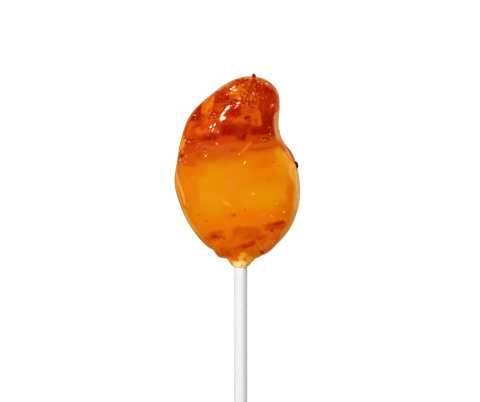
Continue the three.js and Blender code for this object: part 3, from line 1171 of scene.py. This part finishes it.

# %% Drained edges and painted sheen
DRAINED_HEIGHT = 1.8
PAST_THE_END = 40.0
DRAINED_STRETCHES = [
    ("right", -10.5, 15.8, 2.0, 1.3),
    ("right", -2.0, 5.5, 1.5, 0.6),
    ("right", 6.5, 16.0, 1.5, -0.2),
    ("right", -PAST_THE_END, -14.5, 1.5, -0.7),
    ("left", -19.0, 0.5, 1.5, 1.0),
    ("left", 2.6, 5.0, 1.0, -0.6),
    ("left", 6.0, 8.8, 1.0, 1.7),
    ("left", 9.5, 14.5, 1.0, 0.3),
    ("both", 20.75, PAST_THE_END, 1.25, 0.2),
    ("right", 17.0, 21.5, 1.0, -0.5),
]
EDGE_UNEVENNESS = 0.9
CROWN_UNEVENNESS = 4.0
EDGE_FADES = (-0.6, 0.6)
EDGE_COVER = 0.9
WALL_MOTTLE = (0.4, 0.7)
EDGE_POOLS = [
    # the peach lines along the lip ridges are a painted highlight
    (PEACH_RIDGE_HIGHLIGHT, (-16.25, -1.6), (0.2, 1.3), 12, 0.5),
    (PEACH_RIDGE_HIGHLIGHT, (-15.5, -4.1), (0.28, 1.7), 20, 0.5),
    (PEACH_RIDGE_HIGHLIGHT, (-14.65, -6.7), (0.26, 1.5), 12, 0.5),
    (PEACH_RIDGE_HIGHLIGHT, (12.2, 5.1), (2.7, 0.35), -58, 0.4),
    (GLAZE["rust"], (12.9, 5.6), (3.4, 0.48), -59, 0.4),
    (GLAZE["deep red"], (12.8, 5.6), (1.2, 0.25), -59, 0.4),
    # this thin brown line along the parting line is a painted shadow
    (GLAZE["brown"], (12.4, 4.05), (2.5, 0.1), -53, 0.6),
    (OCHRE_STAIN, (13.5, -11.0), (0.4, 1.2), -15, 0.9),
    (GLAZE["rust"], (13.9, 3.6), (1.3, 0.35), -68, 0.5),
    (GLAZE["brown"], (10.4, 6.8), (1.3, 0.5), -50, 0.8),
    (OCHRE_STAIN, (12.0, -14.6), (0.5, 2.0), -40, 0.9),
    # the rose ovals on the beak are a painted sheen
    (ROSE_SHEEN, (7.5, 22.4), (1.0, 0.4), -40, 0.9),
    (ROSE_SHEEN, (5.8, 23.4), (0.9, 0.4), -25, 0.9),
    (ROSE_SHEEN, (9.2, 16.9), (0.3, 0.8), 0, 0.9),
    (GLAZE["crimson"], (3.4, 24.2), (0.4, 0.7), 0, 0.5),
]


def drained_height(along, sides):
    """How far from the parting plane the glaze has drained away."""
    height = DRAINED_HEIGHT
    for side, low, high, softness, more in DRAINED_STRETCHES:
        height = height + more * sides[side] * between(along, low, high, softness)
    return height


def wall_colour(across, along, from_parting, crown_edge):
    left_wall = along.rise(1.0, 5.0).shade(OCHRE_WALL, AMBER_WALL)
    left_wall = left_wall.tint(HONEY_EDGE, 0.6 * between(along, -14.5, -9.5, 1.5))
    # the peach of the right cheek is partly drained glaze and partly a painted glow, as if lit through the
    # sugar
    right_wall = along.rise(0.0, 4.0).shade(PEACH_GLOW_WALL, SHOULDER_WALL)
    right_wall = right_wall.tint(AMBER_WALL, from_parting.rise(2.0, 2.8))
    right_wall = right_wall.tint(BEAK_WALL, along.rise(7.5, 10.0))
    right_wall = right_wall.tint(BEAK_WALL, 1 - along.rise(-11.0, -7.0))
    wall = across.rise(-2.0, 5.0).shade(left_wall, right_wall)
    wall = wall.tint(HEEL_WALL, 1 - along.rise(-18.5, -14.5))
    # the tan along the top of the crown is a painted pale sheen on the edge
    return wall.tint(RUSSET_WALL, crown_edge).tint(TAN_SHEEN_WALL, along.rise(19.5, 22.5))


def drained_edges_and_sheen(colour, place):
    across, along = place.axis("X"), place.wobble(scale=0.4, reach=0.7).axis("Y")
    height = place.axis("Z") - PARTING_HEIGHT / MM
    from_parting = height.node("ShaderNodeMath", {"operation": "ABSOLUTE"}, {0: height})
    right_side, left_side = across.rise(4.0, 8.0), 1 - across.rise(-9.0, -6.0)
    crown_edge = along.rise(8.5, 12.5) * (1 - right_side * (1 - along.rise(14.5, 17.5)))
    drained_to = drained_height(along, {"right": right_side, "left": left_side, "both": 1.0})
    wall = wall_colour(across, along, from_parting, crown_edge)
    mottle = place.noise(0.9, 3.0)
    wall = wall.tint(GLAZE["amber"], 0.3 * mottle.rise(*WALL_MOTTLE))
    wall = wall.tint(GLAZE["rust"], 0.5 * crown_edge * mottle.rise(*WALL_MOTTLE))
    wall = wall.tint(CREAM_SYRUP, 0.3 * right_side * (1 - mottle).rise(*WALL_MOTTLE))
    uneven = from_parting - drained_to + EDGE_UNEVENNESS * (place.noise(0.8, 3.0) - 0.5)
    uneven = uneven + CROWN_UNEVENNESS * crown_edge * (place.noise(0.3, 2.0) - 0.5)
    colour = colour.tint(wall, EDGE_COVER * (1 - uneven.rise(*EDGE_FADES)))
    wandering, front = place.wobble(scale=1.2, reach=0.2), height.rise(0.3, 1.0)
    for shade, middle, size, turn, softness in EDGE_POOLS:
        colour = colour.tint(shade, EDGE_COVER * front * wandering.patch(middle, size, turn, softness))
    return colour


print("stretches of drained edge", len(DRAINED_STRETCHES), "with lines and stains", len(EDGE_POOLS))

# %% [markdown]
# The neck of syrup is almost clear, from olive on one side to amber on the other, with a few paler and
# browner pools. Clear glass would be nearer to real syrup, but the neck is a stretch of the same skin, so
# it is coloured with it.

# %% Neck of syrup
NECK_FADES = (-22.7, -21.5)
OLIVE_TO_AMBER = (-2.2, 0.6)
SYRUP_POOLS = [
    (GLAZE["burnt orange"], (-1.5, -22.2), (0.8, 0.5), 0.7),
    (GOLD_SYRUP, (0.1, -22.3), (0.6, 1.0), 0.7),
    (CREAM_SYRUP, (-0.5, -23.9), (1.2, 0.7), 0.7),
    (GLAZE["brown"], (1.1, -22.5), (0.4, 0.35), 0.6),
]


def syrup_neck(colour, place):
    wandering = place.wobble(scale=0.9, reach=0.6)
    neck = 1 - wandering.axis("Y").rise(*NECK_FADES)
    syrup = wandering.axis("X").rise(*OLIVE_TO_AMBER).shade(OLIVE_SYRUP, AMBER_SYRUP)
    for shade, middle, size, softness in SYRUP_POOLS:
        syrup = syrup.tint(shade, wandering.patch(middle, size, 0, softness))
    syrup = syrup.tint(GLAZE["brown"], 0.8 * place.noise(1.1, 2.0).rise(0.58, 0.68))
    return colour.tint(syrup, neck)


print("pools in the neck", len(SYRUP_POOLS))

# %% [markdown]
# The glaze is wet all over but for one shoulder of the belly, which has dried dull, and a tacky spot at the
# lower end of the streak. Light also goes a little way into boiled sugar, which subsurface scattering
# gives. The dull places could have a material of their own, but it would end at a hard edge, so the
# roughness is raised there by soft ovals.

# %% The finish of the glaze
DULL_PATCH, DULL_SIZE, DULLNESS = (-9.6, 0.2), (4.8, 4.4), 0.8
TACKY_PATCH, TACKY_SIZE, TACKINESS = (-7.0, 10.7), (1.7, 1.5), 0.6
WET_ROUGHNESS = 0.04
SUGAR_GLOW = (1.0, 0.4, 0.1)


def glaze_finish():
    material, shader, place = new_material("glazed_sugar")
    colour = froth(uneven_glaze(glaze_colour(place), place), place)
    dull = DULLNESS * place.wobble(scale=0.4, reach=1.0).patch(DULL_PATCH, DULL_SIZE, turn=0, softness=0.9)
    dull = dull + TACKINESS * place.patch(TACKY_PATCH, TACKY_SIZE, turn=0, softness=0.35)
    sockets = {
        "Base Color": syrup_neck(drained_edges_and_sheen(colour, place), place),
        "Roughness": WET_ROUGHNESS + 0.06 * place.noise(0.6) + dull,
        "Normal": bump(place.noise(1.4, 2.0), strength=0.1, depth=0.02),
        "Subsurface Weight": 0.4,
        "Subsurface Radius": SUGAR_GLOW,
        "Subsurface Scale": 0.6 * MM,
        "IOR": 1.5,
        "Specular IOR Level": 0.13,
    }
    set_sockets(shader, sockets)
    return material


coat(candy, glaze_finish())

# %% [markdown]
# The beads are syrup full of air, so they are paler than the glaze that they stand in: peach on the crown
# and gold further down. Their pale colour is also a painted glint, as each bead is too small to catch the
# key light. The plates of sugar are wet with the same syrup, and the grains have dried, so their shine is
# spread. One function makes both finishes, as only the roughness differs.

# %% The finish of the beads, plates and grains
# the bead colours are partly pale syrup and partly a painted glint
CROWN_BEAD_AND_GLINT = paint(240, 122, 54)
CROWN_BEAD_DARK = paint(222, 84, 24)
BELLY_BEAD_AND_GLINT = paint(246, 154, 44)
WET_SHINE = 0.06
DRY_SHINE = 0.17


def bead_finish(name, roughness):
    material, shader, place = new_material(name)
    crown_bead = place.noise(0.9).rise(0.42, 0.6).shade(CROWN_BEAD_AND_GLINT, CROWN_BEAD_DARK)
    sockets = {
        "Base Color": place.axis("Y").rise(4.0, 7.0).shade(BELLY_BEAD_AND_GLINT, crown_bead),
        "Roughness": roughness + 0.06 * place.noise(2.0),
        "Subsurface Weight": 0.3,
        "Subsurface Radius": SUGAR_GLOW,
        "Subsurface Scale": 0.3 * MM,
    }
    set_sockets(shader, sockets)
    return material


wet_syrup = bead_finish("wet_syrup", WET_SHINE)
dry_syrup = bead_finish("dry_syrup", DRY_SHINE)
coat(beads, wet_syrup)
coat(plates, wet_syrup)
coat(grains, dry_syrup)

# %% [markdown]
# Dry chilli is dark red with paler, browner bits, and a film of glaze makes it shine a little. Flakes that
# are sunk in the glaze take its colour. Each flake could have its own material, but one that goes by the
# place of a flake is enough.

# %% The chilli finish
CHILLI_DARK = paint(132, 14, 4)
CHILLI_BROWN = paint(170, 38, 7)
CHILLI_BLACK = paint(70, 4, 3)
SUNK_CHILLI = paint(212, 88, 4)


def chilli_finish():
    material, shader, place = new_material("chilli_skin")
    mottle = place.noise(2.2, 3.0)
    colour = (0.6 * mottle.rise(0.4, 0.65)).shade(CHILLI_DARK, CHILLI_BROWN)
    across, along = place.axis("X"), place.axis("Y")
    belly = between(along, -14.0, 6.5, 1.0) * between(across, -14.0, 13.0, 0.4)
    colour = colour.tint(CHILLI_BLACK, across.rise(13.6, 14.0))
    colour = colour.tint(GLAZE["crimson"], 0.8 * (1 - along.rise(-15.0, -14.0)))
    sockets = {
        "Base Color": colour.tint(SUNK_CHILLI, 0.9 * belly),
        "Roughness": 0.25 + 0.2 * mottle,
        "Normal": bump(mottle, strength=0.3, depth=0.08),
        "Specular IOR Level": 0.05,
    }
    set_sockets(shader, sockets)
    return material


coat(flakes, chilli_finish())

# %% [markdown]
# Rolled paper is matt and white, with fibres that run along the stick. Its right side is painted a soft
# grey, a painted shade as if the light fell from the left. Noise that is drawn out along the stick gives
# the fibres, and a soft ramp across it the painted shade.

# %% The paper finish
PAPER_WHITE = paint(234, 234, 233)
PAPER_SHADE = paint(222, 222, 220)
PAPER_PAINTED_SHADE = paint(204, 204, 203)
FIBRE_DRAW = (6.0, 0.6, 6.0)


def paper_finish():
    material, shader, place = new_material("rolled_paper")
    fibre = place.vector("MULTIPLY", FIBRE_DRAW).noise(1.0, 3.0)
    white = fibre.rise(0.4, 0.8).shade(PAPER_WHITE, PAPER_SHADE)
    sockets = {
        # the grey on the stick's right side is painted shade
        "Base Color": white.tint(PAPER_PAINTED_SHADE, place.axis("X").rise(0.0, 1.5)),
        "Roughness": 0.55 + 0.2 * fibre,
        "Normal": bump(fibre, strength=0.3, depth=0.02),
    }
    set_sockets(shader, sockets)
    return material


coat(stick, paper_finish())

# %% [markdown]
# The pieces ride on the part's one body, and the new skin and stick stand for the two solids.

# %% Join the pieces to the part
for piece in (candy, flakes, beads, plates, grains, stick):
    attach(piece, "root")
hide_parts("candy")
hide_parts("stick")

# %% [markdown]
# A pale table that glows a little keeps the ground white right up to the sweet, as a lit table does in a
# studio. Lamps alone would leave a grey shadow round it.

# %% Floor
FLOOR_GAP = 0.01 * MM
bpy.ops.object.select_all(action="DESELECT")
bpy.ops.mesh.primitive_plane_add(size=6.0, location=(0, 0, -FLOOR_GAP))
floor = bpy.context.object
floor.name = "floor"
floor_material, floor_shader, _ = new_material("pale_table")
table_sockets = {
    "Base Color": (0.3, 0.3, 0.3, 1),
    "Roughness": 0.9,
    "Specular IOR Level": 0.0,
    "Emission Color": (1, 1, 1, 1),
    "Emission Strength": 0.95,
}
set_sockets(floor_shader, table_sockets)
coat(floor, floor_material)
floor.visible_glossy = False
floor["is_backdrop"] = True

# %% [markdown]
# One small, bright and warm key light stands where the window does, and draws the streak on the crown. A
# large, soft lamp overhead fills the rest. It isn't seen in reflections, as if it were polarised, so the
# wet face stays deep in colour.

# %% Lights
KEY_TINT = (1.0, 0.9, 0.74)
KEY_SIZE, KEY_LIGHT = (0.03, 0.04), 45
FILL_PLACE, FILL_SIZE, FILL_LIGHT = (-0.1, 0.1, 0.88), (0.9, 0.9), 4.4


def soft_lamp(name, place, size, radiance, in_reflections):
    bpy.ops.object.light_add(type="AREA", location=place)
    lamp = bpy.context.object
    lamp.name = name
    lamp.rotation_euler = Vector(place).to_track_quat("Z", "Y").to_euler()
    lamp.data.shape = "RECTANGLE"
    lamp.data.size, lamp.data.size_y = size
    lamp.data.energy = radiance * math.pi * size[0] * size[1]
    lamp.visible_glossy = in_reflections
    print(name, "at", [round(value, 2) for value in place])
    return lamp


key = soft_lamp("key", window, KEY_SIZE, KEY_LIGHT, in_reflections=True)
key.data.color = KEY_TINT
soft_lamp("overhead_fill", FILL_PLACE, FILL_SIZE, FILL_LIGHT, in_reflections=False)

# %% [markdown]
# The room is dim, with paler walls. The table's right half is lit, and only steep edges of the sweet mirror
# it. A picture of a studio could light the sweet, but a few soft steps are enough and need no file.

# %% Surroundings
WALL_LIGHT = 0.12
CEILING_LIGHT = 0.02
TABLE_GLOW = 0.5
WARM_WHITE = (1.0, 0.8, 0.55, 1)
world = bpy.data.worlds.new("studio")
bpy.context.scene.world = world
world.use_nodes = True
backdrop = next(node for node in world.node_tree.nodes if node.type == "BACKGROUND")
directions = world.node_tree.nodes.new("ShaderNodeTexCoord")
direction = Field(world.node_tree, directions.outputs["Generated"])
upwards, rightwards = direction.axis("Z"), direction.axis("X")
walls = (1 - upwards.rise(0.1, 0.5)) * upwards.rise(-0.3, 0.0)
table = (1 - upwards.rise(-0.9, -0.4)) * rightwards.rise(0.1, 0.4)
brightness = CEILING_LIGHT + (WALL_LIGHT - CEILING_LIGHT) * walls + TABLE_GLOW * table
set_sockets(backdrop, {"Color": WARM_WHITE, "Strength": brightness})
bpy.context.scene.view_settings.view_transform = "Standard"
print("room lit from", CEILING_LIGHT, "to", WALL_LIGHT)

# %% [markdown]
# The box of the solids and the box of the pieces are measured, and the box of the pieces is printed.

# %% Measure both sizes and finish
shown_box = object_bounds()
boxes = {"cad": solid_box, "visual": shown_box}
{name: [list(corner) for corner in box] for name, box in boxes.items()}
print("visual box", [[round(value / MM, 2) for value in corner] for corner in shown_box])
